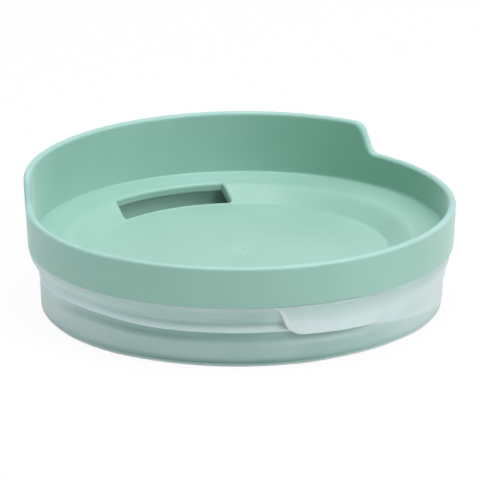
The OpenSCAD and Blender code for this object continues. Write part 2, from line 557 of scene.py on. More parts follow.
@dataclass(frozen=True)
class MatteMoulding(MouldedFinish):
    """Finish of the lid: pale green polypropylene with a fine spark-eroded grain."""

    roughness: float = 0.5
    roughness_span: tuple[float, float] = (-0.04, 0.05)
    grain_scale: float = 2600.0
    grain_depth: float = 0.00004
    grain_strength: float = 0.35
    ior: float = 1.58
    scatter: float = 0.12
    scatter_reach: tuple[float, float, float] = (0.0008, 0.0014, 0.0011)
    sheen: float = 0.58
    sheen_tint: Colour = (0.88, 0.97, 1.0, 1.0)
    colour: Colour = srgb(144, 190, 174)
    pale: Colour = srgb(150, 195, 180)
    blush: Colour = srgb(164, 204, 193)
    # Painted highlight along the rim's crown.
    rim_highlight_colour: Colour = srgb(160, 202, 193)
    # Painted light on the ring near the back wall.
    ring_painted_light: Colour = srgb(157, 201, 188)
    # Painted light inside the skirt below the slot, brighter near its top, and painted shade towards the
    # slot's +X end.
    inside_painted_light: Colour = srgb(166, 218, 198)
    inside_painted_bright_light: Colour = srgb(205, 240, 228)
    inside_painted_shade: Colour = srgb(46, 96, 76)
    # Painted shade on the inside of the wall on the +X side.
    wall_painted_shade: Colour = srgb(124, 177, 153)
    cloud_scale: float = 55.0
    polish_scale: float = 220.0
    bloom_r: Window = Window(5.0, 0.5)
    bloom_share: float = 0.4
    flow_turn: float = 36.0
    flow_along: Window = Window(0.0, 2.0, 4.0, 14.0)
    flow_across: Window = Window(0.8, 0.0)
    flow_share: float = 0.5
    # Where the painted light and shade fall: the ring, the inside of the skirt and the inside of the wall.
    ring_r: Window = Window(36.0, 38.0)
    ring_z: Window = Window(14.4, 15.0, 15.6, 16.0)
    ring_x: Window = Window(-10.0, 10.0)
    ring_y: Window = Window(24.0, 38.0)
    skirt_r: Window = Window(37.5, 38.5, 40.1, 40.5)
    skirt_z: Window = Window(13.9, 13.4)
    inside_light_z: Window = Window(11.2, 12.4)
    inside_shade_x: Window = Window(11.5, 15.5, 22.0, 34.0)
    wall_r: Window = Window(45.1, 44.9)
    wall_z: Window = Window(15.8, 16.6)
    wall_x: Window = Window(16.0, 46.0)

    def material(self) -> Material:
        """Builds the material, with flow marks round the gate in the middle of the disc, a painted highlight
        on the rim, and painted light and shade on the ring, inside the skirt and inside the wall.

        Returns:
            The material.
        """
        material, board = new_material("matte_green_moulding")
        place = board.add("ShaderNodeTexCoord").outputs["Object"]
        cloud = board.spread(board.noise(place, self.cloud_scale, CLOUD_DETAIL), 0.0, 1.0)
        colour = board.blend(cloud, self.colour, self.pale)
        colour = board.blend(self.gate_blush(board, place), colour, self.blush)
        # Painted light and shade on the ring, inside the skirt and inside the wall.
        colour = self.paint_light_and_shade(board, place, colour)
        # Painted highlight along the rim's crown.
        rim_highlight_share = board.add("ShaderNodeAttribute", attribute_name=RIM_HIGHLIGHT).outputs["Fac"]
        colour = board.blend(rim_highlight_share, colour, self.rim_highlight_colour)
        grain = board.noise(place, self.grain_scale, GRAIN_DETAIL)
        polish = board.noise(place, self.polish_scale, GRAIN_DETAIL)
        self.wire(board, colour, grain, polish)
        return material

    def paint_light_and_shade(self, board: NodeBoard, place: Socket, colour: Socket) -> Socket:
        """Paints light and shade into the colour on the ring, inside the skirt and inside the wall, as the
        photograph shows it.

        Args:
            board: The material's nodes.
            place: Object coordinates.
            colour: Colour of the moulding.

        Returns:
            The colour with its painted light and its painted shade.
        """
        x, y, z = board.add("ShaderNodeSeparateXYZ", Vector=place).outputs
        r = board.reach(place)
        ring = board.zone((r, self.ring_r), (z, self.ring_z), (y, self.ring_y), (x, self.ring_x))
        skirt = board.zone((r, self.skirt_r), (z, self.skirt_z))
        # Painted shade on the inside of the wall on the +X side.
        wall = board.zone((z, self.wall_z), (r, self.wall_r), (x, self.wall_x))
        # Painted light inside the skirt, brighter near its top, then painted shade towards the slot's +X
        # end.
        inside = board.blend(board.zone((z, self.inside_light_z)), self.inside_painted_light, self.inside_painted_bright_light)
        inside = board.blend(board.zone((x, self.inside_shade_x)), inside, self.inside_painted_shade)
        for share, there in ((ring, self.ring_painted_light), (skirt, inside), (wall, self.wall_painted_shade)):
            colour = board.blend(share, colour, there)
        return colour

    def gate_blush(self, board: NodeBoard, place: Socket) -> Socket:
        """Paints the pale bloom round the gate and the thin flow line that leaves it.

        Args:
            board: The material's nodes.
            place: Object coordinates.

        Returns:
            The share of the pale colour.
        """
        turn = (0.0, 0.0, math.radians(self.flow_turn))
        turned = board.add("ShaderNodeMapping", Vector=place, Rotation=turn).outputs[0]
        along, y, _ = board.add("ShaderNodeSeparateXYZ", Vector=turned).outputs
        across = board.math("ABSOLUTE", y)
        line = board.zone((across, self.flow_across), (along, self.flow_along))
        bloom = board.times(board.zone((board.reach(place), self.bloom_r)), self.bloom_share)
        return board.math("SUBTRACT", bloom, board.times(line, self.flow_share))


@dataclass(frozen=True)
class MilkySilicone(MouldedFinish):
    """Finish of the seal: translucent silicone that is whiter where it stands off the green skirt, with
    painted light and shade.
    """

    roughness: float = 0.42
    roughness_span: tuple[float, float] = (-0.05, 0.06)
    grain_scale: float = 1500.0
    grain_depth: float = 0.00003
    grain_strength: float = 0.25
    ior: float = 1.41
    scatter: float = 0.5
    scatter_reach: tuple[float, float, float] = (0.0011, 0.0014, 0.0014)
    sheen: float = 0.5
    # Deep green at the foot: the green skirt seen through the thin silicone, and painted shade.
    foot: Colour = srgb(118, 156, 146)
    tight: Colour = srgb(158, 190, 182)
    loose: Colour = srgb(216, 233, 232)
    foot_milk: float = -0.6
    cloud_scale: float = 90.0
    cloud_milk: float = 0.05

    def material(self) -> Material:
        """Builds the material, which reads how milky the silicone looks, with painted light and shade, from
        the pieces' own attribute.

        Returns:
            The material.
        """
        material, board = new_material("milky_silicone")
        place = board.add("ShaderNodeTexCoord").outputs["Object"]
        # Milkiness together with painted light and shade.
        milk_and_light = board.add("ShaderNodeAttribute", attribute_name=MILK_AND_LIGHT).outputs["Fac"]
        noise = board.noise(place, self.cloud_scale, CLOUD_DETAIL)
        cloud = board.spread(noise, -self.cloud_milk, self.cloud_milk)
        colour = board.blend(board.math("ADD", milk_and_light, cloud), self.tight, self.loose)
        colour = board.blend(board.remap(milk_and_light, self.foot_milk, 0.0, 1.0, 0.0), colour, self.foot)
        skin = board.noise(place, self.grain_scale, GRAIN_DETAIL)
        self.wire(board, colour, skin, skin)
        return material


@dataclass(frozen=True)
class CornerArc:
    """The rounding of a corner in plan."""

    centre: Array
    rounding: float
    start: float
    turn: float

    def point(self, share: float) -> Array:
        """Point at a share of the way along the arc."""
        angle = self.start + self.turn * share
        return self.centre + self.rounding * np.array([math.cos(angle), math.sin(angle)])


@dataclass
class LidMoulding:
    """The green moulding: rim wall, dished deck, drinking slot, flange and skirt."""

    rim_r: float
    tall_h: float
    wall_taper: float = 0.8
    wall_t: float = 1.6
    rim_round: float = 0.7
    step_h: float = 6.1
    low_wall_h: float = 7.5
    tall_half: float = 65.5
    step_lean: float = 65.0
    step_foot_r: float = 2.5
    step_top_r: float = 2.6
    rim_sag: float = 0.25
    sag_y: Window = Window(-32.0, -8.0)
    # Depth under the rim's top of the painted highlight along its crown.
    rim_highlight_depth: Window = Window(0.9, 0.1)
    deck_t: float = 1.45
    ridge_r: float = 36.2
    disc_r: float = 31.8
    disc_drop: float = 3.45
    slope_round: float = 4.0
    disc_round: float = 0.35
    under_round: float = 1.2
    gate_r: float = 0.9
    gate_depth: float = 0.25
    gate_lip: float = 0.15
    slot_w: float = 26.0
    slot_in_r: float = 32.4
    slot_out_r: float = 36.8
    slot_corner: float = 0.4
    slot_round: float = 0.6
    slot_under_round: float = 0.1
    slope_extra: float = 0.6
    skirt_r: float = 41.45
    skirt_t: float = 1.6
    edge_round: float = 0.35
    band_round: float = 0.08
    band_margin: float = 0.05
    flange_round: float = 0.15
    fold_round: float = 0.5
    column_gap: float = 1.5
    step_column_gap: float = 0.35
    step_zone: float = 7.5
    gate_rings: tuple[float, ...] = (0.4, 0.6, 0.75, 0.9, 1.0, 1.12, 1.3, 1.8)
    disc_rings: int = 12
    disc_rings_from: float = 3.5
    disc_rings_short: float = 4.5
    outer_rings: int = 7
    ring_digits: int = 6
    fold_guard: float = 0.12
    arc_points: int = 7
    rim_passes: int = 2
    loop_offsets: tuple[float, ...] = (0.0, 0.05, 0.12, 0.2, 0.3, 0.45, 0.7, 1.1, 1.7, 2.6)
    corner_insets: tuple[float, ...] = (0.12, 0.28, 0.5, 0.75, 1.05, 1.4, 1.8, 2.2)
    loop_match: float = 0.00001
    corner_fade: float = 0.5
    bend_turns: Window = Window(45.0, 30.0)
    bend_r: Window = Window(24.0, 29.0, 39.2, 42.0)
    wall_shares: tuple[float, ...] = (0.02, 0.2, 0.4, 0.6, 0.8, 0.98)
    slot_shares: tuple[float, ...] = (0.06, 0.35, 0.65, 0.94)

    @classmethod
    def from_frame(cls) -> "LidMoulding":
        """Takes the lid's reach and height from its CAD node."""
        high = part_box("lid_body")[1]
        return cls(rim_r=high.y / MM, tall_h=high.z / MM)

    @property
    def low_h(self) -> float:
        """Height of the low rim."""
        return self.tall_h - self.step_h

    @property
    def deck_z(self) -> float:
        """Height of the flat ring of the deck."""
        return self.low_h - self.low_wall_h

    @property
    def band_z(self) -> float:
        """Height of the band's lower edge and the flange's underside."""
        return self.deck_z - self.deck_t

    @property
    def disc_z(self) -> float:
        """Height of the middle disc."""
        return self.deck_z - self.disc_drop

    @property
    def skirt_in_r(self) -> float:
        """Inside radius of the skirt."""
        return self.skirt_r - self.skirt_t

    @property
    def slot_mid_r(self) -> float:
        """Radius of the slot's middle line."""
        return (self.slot_in_r + self.slot_out_r) / 2.0

    @property
    def slot_lines(self) -> Array:
        """Distances out from an edge of the slot, of the mesh's lines along it."""
        return np.concatenate([-np.array(self.corner_insets[::-1]), self.loop_offsets])

    def out_r(self, z: float | Array) -> float | Array:
        """Outside radius of the wall at a height."""
        share = (z - self.band_z) / (self.tall_h - self.band_z)
        return self.rim_r - self.wall_taper * (1.0 - share)

    def rim_height(self, y: Array) -> tuple[Array, Array]:
        """Follows the rim's top along Y: low, up the S-curve of the step, then tall.

        Args:
            y: Places along Y.

        Returns:
            The rim's height at each place, and its slope there.
        """
        lean = math.radians(self.step_lean)
        steep = math.tan(lean)
        fall = 1.0 - math.cos(lean)
        foot_run = self.step_foot_r * math.sin(lean)
        top_run = self.step_top_r * math.sin(lean)
        straight_h = self.step_h - (self.step_foot_r + self.step_top_r) * fall
        run = foot_run + top_run + straight_h / steep
        foot_y = self.rim_r * math.cos(math.radians(self.tall_half)) - run / 2.0
        top_y = foot_y + run
        past_foot = np.clip(y - foot_y, 0.0, foot_run)
        short_of_top = np.clip(top_y - y, 0.0, top_run)
        foot_side = np.sqrt(self.step_foot_r**2 - past_foot**2)
        top_side = np.sqrt(self.step_top_r**2 - short_of_top**2)
        hollow = self.low_h + self.step_foot_r - foot_side
        shoulder = self.tall_h - self.step_top_r + top_side
        line = self.low_h + self.step_foot_r * fall + (y - foot_y - foot_run) * steep
        before = y < foot_y + foot_run
        after = y > top_y - top_run
        height = np.where(before, hollow, np.where(after, shoulder, line))
        height = height - self.rim_sag * self.sag_y.share(y) * ease(top_y, foot_y, y)
        slope = np.where(after, short_of_top / top_side, steep)
        return height, np.where(before, past_foot / foot_side, slope)

    def loop_numbers(self, outside: Array) -> Array:
        """Numbers the loops of lines round the slot.

        Args:
            outside: Distances outside the slot.

        Returns:
            The loop at each distance: its number, 0 inside the slot and -1 away from the loops.
        """
        loops = np.where(outside < 0.0, 0, -1)
        for loop, offset in enumerate(self.loop_offsets):
            loops[np.isclose(outside, offset, atol=self.loop_match)] = loop
        return loops

    def columns(self) -> tuple[Array, Array]:
        """Chooses the angles of the mesh's columns, closer at the step and at the slot's ends.

        Returns:
            The angles from +Y towards +X in radians, and each column's loop round the slot.
        """
        end_x = self.slot_w / 2.0
        slot_lines = np.degrees(np.arcsin((end_x + self.slot_lines) / self.slot_mid_r))
        zone = (self.tall_half - self.step_zone, self.tall_half + self.step_zone)
        step_lines = np.arange(zone[0], zone[1], self.step_column_gap)
        taken = [(slot_lines[0], slot_lines[-1]), zone]
        room = self.column_gap / 2.0
        plain = [
            angle
            for angle in np.arange(self.column_gap, 180.0, self.column_gap)
            if all(angle < low - room or angle > high + room for low, high in taken)
        ]
        half = np.sort(np.concatenate([plain, slot_lines, step_lines]))
        angles = np.radians(np.concatenate([-half[::-1], [0.0], half, [180.0]]))
        loops = self.loop_numbers(self.slot_mid_r * np.sin(np.abs(angles)) - end_x)
        loops[np.abs(angles) > math.pi / 2.0] = -1
        return angles, loops

    def rings(self, last_r: float) -> tuple[Array, Array]:
        """Chooses the radii of the deck's rings, closer at the gate mark, the slot and the folds.

        Args:
            last_r: Radius of the outermost ring.

        Returns:
            The radii, and each ring's loop round the slot.
        """
        disc = np.linspace(self.disc_rings_from, self.slot_in_r - self.disc_rings_short, self.disc_rings)
        before = self.slot_in_r - self.slot_lines
        after = self.slot_out_r + self.slot_lines
        outer = np.linspace(after[-1], last_r, self.outer_rings)[1:-1]
        fold = [last_r - self.fold_guard, last_r]
        radii = np.concatenate([self.gate_rings, disc, before, after, outer, fold])
        radii = np.unique(np.round(radii, self.ring_digits))
        return radii, self.loop_numbers(np.maximum(self.slot_in_r - radii, radii - self.slot_out_r))

    def plan(self, radii: Array, angles: Array) -> Array:
        """Lays the rings and columns out in plan, with the columns bent to the slot's straight ends.

        Args:
            radii: Radii of the rings.
            angles: Angles of the columns.

        Returns:
            X and Y of each crossing, by ring and column.
        """
        r, a = np.meshgrid(radii, angles, indexing="ij")
        straight = np.arcsin(np.clip(self.slot_mid_r * np.sin(a) / r, -1.0, 1.0))
        near = self.bend_turns.share(np.degrees(np.abs(a))) * self.bend_r.share(r)
        bent = a + near * (straight - a)
        return np.stack([r * np.sin(bent), r * np.cos(bent)], axis=-1)

    def round_slot_corners(self, plan: Array, ring_loops: Array, column_loops: Array) -> None:
        """Moves the loops round the slot onto rounded corners, fading out away from the slot.

        Args:
            plan: X and Y of each crossing, changed in place.
            ring_loops: Each ring's loop round the slot.
            column_loops: Each column's loop round the slot.
        """
        sharp = plan.copy()
        inner_rows = np.nonzero(ring_loops == 0)[0]
        inner_columns = np.nonzero(column_loops == 0)[0]
        middle_row = inner_rows[len(inner_rows) // 2]
        middle_column = inner_columns[len(inner_columns) // 2]
        for loop, offset in enumerate(self.loop_offsets):
            effect = ease(self.loop_offsets[-1], self.corner_fade, np.array(offset))
            rows = np.nonzero(ring_loops == loop)[0][[0, -1]]
            columns = np.nonzero(column_loops == loop)[0][[0, -1]]
            for row, column in itertools.product(rows, columns):
                corner = sharp[row, column]
                side = np.sign(column - middle_column)
                out = np.sign(row - middle_row)
                arc = self.corner_arc(side, out > 0, self.slot_corner + offset)
                along = [(row, j) for j in range(column, middle_column, -side)]
                across = [(i, column) for i in range(row, middle_row, -out)]
                for places, tip in ((along, 0.0), (across, 1.0)):
                    reach = np.linalg.norm(arc.point(tip) - corner)
                    for place in places:
                        away = np.linalg.norm(sharp[place] - corner) / reach
                        if away < 1.0:
                            moved = arc.point(0.5 + (tip - 0.5) * away)
                            plan[place] = sharp[place] + effect * (moved - sharp[place])

    def corner_arc(self, side: int, is_outer: bool, rounding: float) -> CornerArc:
        """Finds the arc that rounds one corner of the slot or of a loop round it.

        Args:
            side: 1 at the slot's +X end and -1 at its -X end.
            is_outer: Whether the corner is on the slot's outer edge.
            rounding: Radius of the arc.

        Returns:
            The arc, from the slot's curved edge to its straight end.
        """
        centre_x = self.slot_w / 2.0 - self.slot_corner
        centre_r = self.slot_out_r - self.slot_corner if is_outer else self.slot_in_r + self.slot_corner
        centre = np.array([side * centre_x, math.sqrt(centre_r**2 - centre_x**2)])
        x, y = centre / np.linalg.norm(centre) * (1.0 if is_outer else -1.0)
        return CornerArc(centre, rounding, start=math.atan2(y, x), turn=math.atan2(-y * side, x * side))

    def top_height(self, r: Array) -> Array:
        """Follows the deck's upper face: disc, slope and ring, with the gate mark.

        Args:
            r: Radii.

        Returns:
            The height at each radius.
        """
        corners = (
            Corner(0.0, self.disc_z),
            Corner(self.disc_r, self.disc_z, self.disc_round),
            Corner(self.ridge_r, self.deck_z, self.slope_round),
            Corner(self.rim_r, self.deck_z),
        )
        sunk = self.gate_depth * ease(self.gate_r, self.gate_r - self.gate_lip, r)
        return section_height(corners, r) - sunk

    def under_height(self, r: Array) -> Array:
        """Follows the deck's underside.

        Args:
            r: Radii.

        Returns:
            The height at each radius.
        """
        slope = math.atan2(self.disc_drop, self.ridge_r - self.disc_r)
        shift = self.deck_t * math.tan(slope / 2.0) + self.slope_extra
        corners = (
            Corner(0.0, self.disc_z - self.deck_t),
            Corner(self.disc_r + shift, self.disc_z - self.deck_t, self.under_round),
            Corner(self.ridge_r + shift, self.band_z, self.under_round),
            Corner(self.rim_r, self.band_z),
        )
        return section_height(corners, r)

    def wall_rows(self, angles: Array) -> list[Array]:
        """Sweeps the rim wall from the deck's fold over the rim and down to the band's edge and the skirt.

        Args:
            angles: Angles of the columns.

        Returns:
            One row of points, as radius and height for each column, per step along the section.
        """
        size = (len(angles), 1)
        turns = np.linspace(0.0, math.pi / 2.0, self.arc_points)
        fold_top = self.deck_z + self.fold_round
        fold_r = self.out_r(fold_top) - self.wall_t
        fold = [
            (fold_r - self.fold_round * (1.0 - math.sin(t)), fold_top - self.fold_round * math.cos(t))
            for t in turns
        ]
        curve = [(self.rim_round * (1.0 - math.cos(t)), self.rim_round * (1.0 - math.sin(t))) for t in turns]
        rim = []
        for inset, drop in [(self.wall_t - inset, drop) for inset, drop in curve] + curve[::-1]:
            r = self.out_r(self.tall_h) - inset
            for _ in range(self.rim_passes):
                height, slope = self.rim_height(r * np.cos(angles))
                z = height - drop * np.sqrt(1.0 + slope**2)
                r = self.out_r(z) - inset
            rim.append(np.stack([r, z], axis=-1))
        foot = section_path(
            [
                Corner(self.out_r(self.low_h), self.low_h),
                Corner(self.out_r(self.band_z), self.band_z, self.band_round),
                Corner(self.skirt_r, self.band_z, self.flange_round),
                Corner(self.skirt_r, 0.0, self.edge_round),
                Corner(self.skirt_in_r, 0.0, self.edge_round),
                Corner(self.skirt_in_r, self.band_z, self.fold_round),
                Corner(self.skirt_in_r - 2.0 * self.fold_round, self.band_z),
            ],
        )
        edge = next(i for i, p in enumerate(foot) if p[1] < self.band_z + self.band_round + self.band_margin)
        above = [np.tile(pair, size) for pair in fold]
        below = [np.tile(pair, size) for pair in foot[edge:]]
        inner = [above[-1] + (rim[0] - above[-1]) * share for share in self.wall_shares]
        outer = [rim[-1] + (below[0] - rim[-1]) * share for share in self.wall_shares]
        return above + inner + rim + outer + below

    def deck_face(
        self, sketch: MeshSketch, angles: Array, column_loops: Array, last_r: float, is_top: bool
    ) -> tuple[Array, Array]:
        """Draws one face of the deck, with the slot left open and its edge rounded.

        Args:
            sketch: The mesh that is being drawn.
            angles: Angles of the columns.
            column_loops: Each column's loop round the slot.
            last_r: Radius of the face's outermost ring.
            is_top: Whether this is the upper face.

        Returns:
            The point numbers of the outermost ring, and those round the slot.
        """
        heights = self.top_height if is_top else self.under_height
        radii, ring_loops = self.rings(last_r)
        plan = self.plan(radii, angles)
        self.round_slot_corners(plan, ring_loops, column_loops)
        loops = np.maximum(ring_loops[:, None], column_loops[None, :])
        away = (ring_loops[:, None] < 0) | (column_loops[None, :] < 0)
        rounding = self.slot_round if is_top else self.slot_under_round
        offsets = np.where(away, rounding, np.array(self.loop_offsets)[np.maximum(loops, 0)])
        drop = edge_drop(rounding, offsets)
        z = heights(np.linalg.norm(plan, axis=-1)) + (-drop if is_top else drop)
        rows = [sketch.add_row(ring) for ring in np.concatenate([plan, z[..., None]], axis=-1)]
        in_rings = ring_loops == 0
        in_columns = column_loops == 0
        for i in range(len(rows) - 1):
            hole = in_rings[i] & in_rings[i + 1] & in_columns & np.roll(in_columns, -1)
            sketch.join(rows[i], rows[i + 1], hole)
        sketch.fan(np.array([0.0, 0.0, float(heights(np.array(0.0)))]), rows[0])
        return rows[-1], border(np.array(rows)[in_rings][:, in_columns])

    def build(self) -> Piece:
        """Builds the moulding as one closed mesh and marks where the rim's painted highlight goes.

        Returns:
            The lid's object.
        """
        sketch = MeshSketch()
        angles, loops = self.columns()
        sweep = self.wall_rows(angles)
        top, upper = self.deck_face(sketch, angles, loops, float(sweep[0][0, 0]), True)
        under, lower = self.deck_face(sketch, angles, loops, float(sweep[-1][0, 0]), False)
        across = np.stack([np.sin(angles), np.cos(angles)], axis=-1)
        wall = [np.concatenate([row[:, :1] * across, row[:, 1:]], axis=-1) for row in sweep[1:-1]]
        sketch.bridge(top, wall, under)
        start, end = sketch.points()[upper], sketch.points()[lower]
        sketch.bridge(upper, [start + (end - start) * share for share in self.slot_shares], lower)
        piece = sketch.piece("lid_shell")
        # Painted highlight along the rim's crown, near the rim's top.
        _, y, z = mesh_points(piece.data).T
        set_attribute(piece, RIM_HIGHLIGHT, self.rim_highlight_depth.share(self.rim_height(y)[0] - z))
        return piece

    def dress(self, finish: MatteMoulding) -> Piece:
        """Builds the lid, gives it its finish and puts it in place of its CAD node.

        Args:
            finish: Finish of the lid.

        Returns:
            The lid's object.
        """
        piece = self.build()
        piece.data.materials.append(finish.material())
        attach(piece, Body.LID.value)
        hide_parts("lid_body")
        return piece


@dataclass
class SealSleeve:
    """The silicone sleeve round the skirt: plug cylinder, recess, sealing lip, neck and collar."""

    height: float
    bend_z: float
    tab_left: float
    tab_right: float
    collar_r: float = COLLAR_R
    collar_h: float = 1.25
    collar_taper: float = 0.25
    collar_belly: float = 0.35
    belly_round: float = 2.0
    collar_round: float = 3.0
    ledge_w: float = 2.5
    seal_t: float = 1.45
    plug_lean: float = 0.1
    lip_out: float = 0.35
    lip_drop: float = 4.85
    lip_nose_h: float = 0.65
    lip_under_round: float = 0.3
    lip_round: float = 0.25
    nose_round: float = 0.5
    neck_h: float = 2.0
    neck_in: float = 0.4
    neck_round: float = 0.8
    recess_h: float = 2.55
    recess_in: float = 0.7
    recess_round: float = 1.0
    shoulder_round: float = 0.6
    bore_round: float = 0.2
    foot_round: float = 1.1
    foot_z: float = 0.15
    seat_gap: float = 0.04
    seat_round: float = 0.03
    longest_step: float = 0.6
    segments: int = 420
    # Stretches of turn: hanging loose, pushed out flat, below the tab, and the two sides' painted light and
    # whiteness.
    loose_turns: Window = Window(0.0, 13.0, 105.0, 150.0)
    full_turns: Window = Window(-78.0, -92.0, -150.0, -170.0)
    tab_turns: Window = Window(-27.0, -16.0, 2.0, 12.0)
    left_turns: Window = Window(-25.0, -100.0, -140.0, -175.0)
    right_turns: Window = Window(2.0, 17.0, 105.0, 150.0)
    # Where the recess is filled out: by how much, from the bore outwards, and above the plug's shoulder.
    full_share: float = 0.9
    tab_share: float = 0.6
    fill_r: Window = Window(0.4, 0.6)
    fill_z: Window = Window(-1.0, 0.0)
    # Where the sleeve hangs loose: its slope, from the bore outwards, from the top down, and its foot.
    loose_share: float = 0.85
    loose_slope: float = 0.23
    loose_start: float = 0.4
    loose_r: Window = Window(0.2, 0.6)
    loose_top: Window = Window(-0.1, -1.0)
    loose_z: Window = Window(1.2, 3.0)
    # The pocket behind the tab.
    pocket_r: float = 43.75
    pocket_inset: float = 1.6
    pocket_side: float = 0.6
    pocket_top: float = 0.3
    # Heights by which the lip rides up, measured from the lip, and by which the foot is tilted.
    lip_lift: Patch = Patch(0.65, Window(-48.0, -80.0, -70.0, -105.0), Window(-5.05, -1.0, 2.0, 5.1))
    foot_lift: Patch = Patch(0.16, Window(-8.0, 3.0, 24.0, 36.0), Window(3.0, 0.8))
    foot_sink: Patch = Patch(-0.14, Window(-56.0, -68.0, -84.0, -94.0), Window(3.0, 0.8))
    # Whiteness of the regular section, by height from the lip, the plug's shoulder or the top: a plain
    # level, a painted highlight on the lip that is partly thin silicone, painted shade in the recess and on
    # the collar's slope, and painted light at the collar's top and in the recess below the tab.
    plain_milk: float = 0.18
    lip_milk_and_highlight: Patch = Patch(0.65, None, Window(-0.1, 0.3, 0.7, 2.0))
    recess_shade: Patch = Patch(-0.3, None, Window(0.0, 1.0, 2.35, 2.85))
    tab_recess_light: Patch = Patch(0.15, tab_turns, Window(0.0, 1.0, 2.35, 2.85))
    collar_top_light: Patch = Patch(0.25, None, Window(-1.6, -0.1))
    slope_shade: Patch = Patch(-0.1, None, Window(-5.1, -3.9, -3.2, -0.8))
    # Whiteness above the slanting edge of the loose side, partly loose silicone and partly painted light:
    # next to the tab, and from the top down.
    edge_z: float = 5.9
    edge_turn: float = 17.0
    edge_fall: float = 0.1
    edge_blur: Window = Window(-0.35, 0.35)
    end_milk_and_light: Patch = Patch(0.14, Window(6.0, 12.0, 18.0, 34.0), Window(11.5, 9.0))
    hang_milk_and_light: Patch = Patch(0.3, right_turns, Window(0.0, -4.5))
    # Painted light and shade, with some of the silicone's own whiteness, set by place by how the seal looks
    # in the photograph.
    foot_edge: Window = Window(1.0, 0.55)
    foot_band: Window = Window(0.75, 1.25, 1.1, 2.6)
    tints: tuple[Patch, ...] = (
        # Painted light on the left side, and painted shade on its upper part.
        Patch(0.57, left_turns),  # left side
        Patch(-0.25, left_turns, Window(9.0, 11.0)),  # upper part of the left side
        # Whiteness of the loose side, partly loose silicone and partly painted light, less at its far end.
        Patch(0.12, right_turns),  # loose side
        Patch(-0.08, Window(30.0, 55.0, 105.0, 150.0)),  # far end of the loose side
        # Painted light in the tab's shadow, below it and beside its left edge, and painted shade on the plug
        # below it.
        Patch(0.12, tab_turns, Window(4.2, 5.0, 5.4, 6.6)),  # shoulder below the tab
        Patch(0.2, Window(-24.0, -17.0, -14.0, -9.0), Window(8.3, 9.2, 12.0, 13.5)),  # tab's left edge
        Patch(-0.12, Window(-16.0, -6.0, 12.0, 22.0), Window(5.0, 4.4)),  # plug below the tab
        # Loose side's plug lighter and its collar darker, partly painted light and shade.
        Patch(0.12, Window(14.0, 26.0, 105.0, 150.0), Window(6.0, 4.8)),  # plug on the loose side
        Patch(-0.15, Window(22.0, 36.0, 46.0, 62.0), Window(10.6, 11.8)),  # collar on the loose side
        # A painted highlight along the lower edge, stronger at the left.
        Patch(0.6, None, foot_edge),  # line along the lower edge
        Patch(0.48, Window(-48.0, -66.0), foot_edge),  # that line at the left
        # Painted shade at the foot, partly the green skirt seen through the thin silicone, lighter at the
        # right and the left.
        Patch(-0.74, None, foot_band),  # foot
        Patch(0.37, Window(-24.0, 2.0, 105.0, 150.0), foot_band),  # foot at the right
        Patch(0.37, Window(-60.0, -85.0), foot_band),  # foot at the left
    )

    @classmethod
    def from_frame(cls) -> "SealSleeve":
        """Takes the sleeve's height and the tab's place from the CAD nodes and the tab's joint."""
        low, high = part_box("seal_pull_tab")
        return cls(
            height=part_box("seal_sleeve")[1].z / MM,
            bend_z=bend_height(),
            tab_left=low.x / MM,
            tab_right=high.x / MM,
        )

    @property
    def plug_r(self) -> float:
        """Radius of the plug cylinder."""
        return self.collar_r - self.ledge_w

    @property
    def bore_r(self) -> float:
        """Radius of the bore round the skirt."""
        return self.plug_r - self.seal_t

    @property
    def lip_z(self) -> float:
        """Height of the sealing lip's lower edge."""
        return self.height - self.collar_h - self.lip_drop

    @property
    def plug_top_z(self) -> float:
        """Height of the plug cylinder's shoulder."""
        return self.lip_z - self.recess_h

    def section(self) -> Array:
        """Draws the sleeve's section.

        Returns:
            The points as rows of radius and height.
        """
        collar_z = self.height - self.collar_h
        neck_z = self.lip_z + self.neck_h
        lip_r = self.plug_r + self.lip_out
        neck_r = lip_r - self.neck_in
        recess_r = self.plug_r - self.recess_in
        collar_in_r = self.collar_r - self.collar_taper
        belly_r = (collar_in_r + neck_r) / 2.0 + self.collar_belly
        seat_z = self.height + self.seat_gap
        corners = (
            Corner(self.bore_r, self.foot_z, self.bore_round),
            Corner(self.plug_r - self.plug_lean, self.foot_z, self.foot_round),
            Corner(self.plug_r + self.plug_lean, self.plug_top_z, self.shoulder_round),
            Corner(recess_r, self.plug_top_z + self.recess_h / 2.0, self.recess_round),
            Corner(recess_r, self.lip_z, self.lip_under_round),
            Corner(lip_r, self.lip_z, self.lip_round),
            Corner(lip_r, self.lip_z + self.lip_nose_h, self.nose_round),
            Corner(neck_r, neck_z, self.neck_round),
            Corner(belly_r, (collar_z + neck_z) / 2.0, self.belly_round),
            Corner(collar_in_r, collar_z, self.collar_round),
            Corner(self.collar_r, seat_z, self.seat_round),
            Corner(self.bore_r, seat_z, self.bore_round),
        )
        return section_path(corners, closed=True, longest=self.longest_step)

